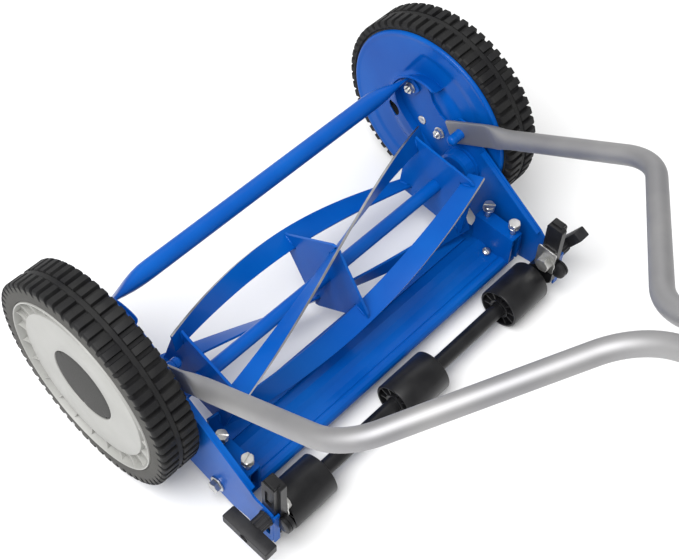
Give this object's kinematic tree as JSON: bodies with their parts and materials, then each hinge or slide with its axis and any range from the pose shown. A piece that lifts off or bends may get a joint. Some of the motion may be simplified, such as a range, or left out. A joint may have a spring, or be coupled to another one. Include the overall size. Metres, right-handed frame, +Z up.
{
  "type": "reel mower",
  "caption": "Push reel mower with a helical cutting reel geared to its wheels, a bed knife, a height-adjustable rear roller and a folding tube handle.",
  "frame": {"origin": "on the ground under the centre of the object's bounding box", "axes": "+Y forward, the way the mower is pushed; +X to its right; +Z up"},
  "size_m": [0.5792, 1.0912, 0.7314],
  "materials": {
    "blue_paint": "gloss",
    "zinc": "satin",
    "tyre_black": "matte",
    "wheel_silver": "satin",
    "cap_grey": "matte",
    "black_plastic": "satin",
    "handle_silver": "satin",
    "grip_foam": "matte"
  },
  "bodies": {
    "frame": {"tie_rod": "blue_paint", "side_plate_left": "blue_paint", "side_plate_right": "blue_paint", "wheel_cover_left": "blue_paint", "wheel_cover_right": "blue_paint", "axle_left": "zinc", "axle_right": "zinc", "bearing_housing_left": "blue_paint", "bearing_housing_right": "blue_paint", "handle_stud_left": "blue_paint", "handle_stud_right": "blue_paint", "tie_rod_bolt_left": "zinc", "tie_rod_bolt_right": "zinc", "cover_bolt_left": "zinc", "cover_bolt_right": "zinc", "pivot_bolt_left": "zinc", "pivot_bolt_right": "zinc"},
    "left_wheel": {"tyre_left": "tyre_black", "wheel_left": "wheel_silver", "hub_cap_left": "cap_grey"},
    "right_wheel": {"tyre_right": "tyre_black", "wheel_right": "wheel_silver", "hub_cap_right": "cap_grey"},
    "reel": {"reel_shaft": "blue_paint", "spider_left": "blue_paint", "spider_middle": "blue_paint", "spider_right": "blue_paint", "blade_1": "blue_paint", "blade_2": "blue_paint", "blade_3": "blue_paint", "blade_4": "blue_paint", "pinion_left": "zinc", "pinion_right": "zinc", "pawl_left": "zinc", "pawl_right": "zinc"},
    "cutter": {"cutter_bar": "blue_paint", "bed_knife": "blue_paint", "screw_front_left": "zinc", "screw_front_right": "zinc", "screw_rear_left": "zinc", "screw_rear_right": "zinc"},
    "roller_carriage": {"roller_rod": "black_plastic", "clamp_stud_left": "zinc", "clamp_stud_right": "zinc", "guide_block_left": "black_plastic", "guide_block_right": "black_plastic"},
    "roller_left": {"roller_left": "black_plastic"},
    "roller_middle": {"roller_middle": "black_plastic"},
    "roller_right": {"roller_right": "black_plastic"},
    "left_knob": {"clamp_knob_left": "black_plastic"},
    "right_knob": {"clamp_knob_right": "black_plastic"},
    "handle": {"handle_lower_left": "handle_silver", "handle_lower_right": "handle_silver", "handle_upper_left": "handle_silver", "handle_upper_right": "handle_silver", "grip_left": "grip_foam", "grip_right": "grip_foam", "clamp_bolt_lower": "zinc", "clamp_bolt_upper": "zinc"}
  },
  "joints": [
    {"name": "left_wheel_spin", "type": "hinge", "parent": "frame", "child": "left_wheel", "pos_m": [0, 0.4186, 0.127], "axis": [1, 0, 0], "continuous": true},
    {"name": "right_wheel_spin", "type": "hinge", "parent": "frame", "child": "right_wheel", "pos_m": [0, 0.4186, 0.127], "axis": [1, 0, 0], "continuous": true},
    {"name": "reel_spin", "type": "hinge", "parent": "frame", "child": "reel", "pos_m": [0, 0.35296, 0.10128], "axis": [1, 0, 0], "continuous": true},
    {"name": "cutter_tilt", "type": "hinge", "parent": "frame", "child": "cutter", "pos_m": [0, 0.2796, 0.034], "axis": [-1, 0, 0], "range_deg": [0, 2]},
    {"name": "cutting_height", "type": "slide", "parent": "frame", "child": "roller_carriage", "axis": [0, 0, 1], "range_m": [-0.03, 0.004]},
    {"name": "roller_left_spin", "type": "hinge", "parent": "roller_carriage", "child": "roller_left", "pos_m": [0, 0.2156, 0.0255], "axis": [1, 0, 0], "continuous": true},
    {"name": "roller_middle_spin", "type": "hinge", "parent": "roller_carriage", "child": "roller_middle", "pos_m": [0, 0.2156, 0.0255], "axis": [1, 0, 0], "continuous": true},
    {"name": "roller_right_spin", "type": "hinge", "parent": "roller_carriage", "child": "roller_right", "pos_m": [0, 0.2156, 0.0255], "axis": [1, 0, 0], "continuous": true},
    {"name": "left_knob_turn", "type": "hinge", "parent": "roller_carriage", "child": "left_knob", "pos_m": [0, 0.2066, 0.061], "axis": [1, 0, 0], "continuous": true},
    {"name": "right_knob_turn", "type": "hinge", "parent": "roller_carriage", "child": "right_knob", "pos_m": [0, 0.2066, 0.061], "axis": [1, 0, 0], "continuous": true},
    {"name": "handle_swing", "type": "hinge", "parent": "frame", "child": "handle", "pos_m": [0, 0.3579, 0.1543], "axis": [-1, 0, 0], "range_deg": [0, 76]}
  ],
  "couplings": [
    {"joint": "right_wheel_spin", "follows": "left_wheel_spin", "ratio": 1},
    {"joint": "reel_spin", "follows": "left_wheel_spin", "ratio": 5.7}
  ]
}
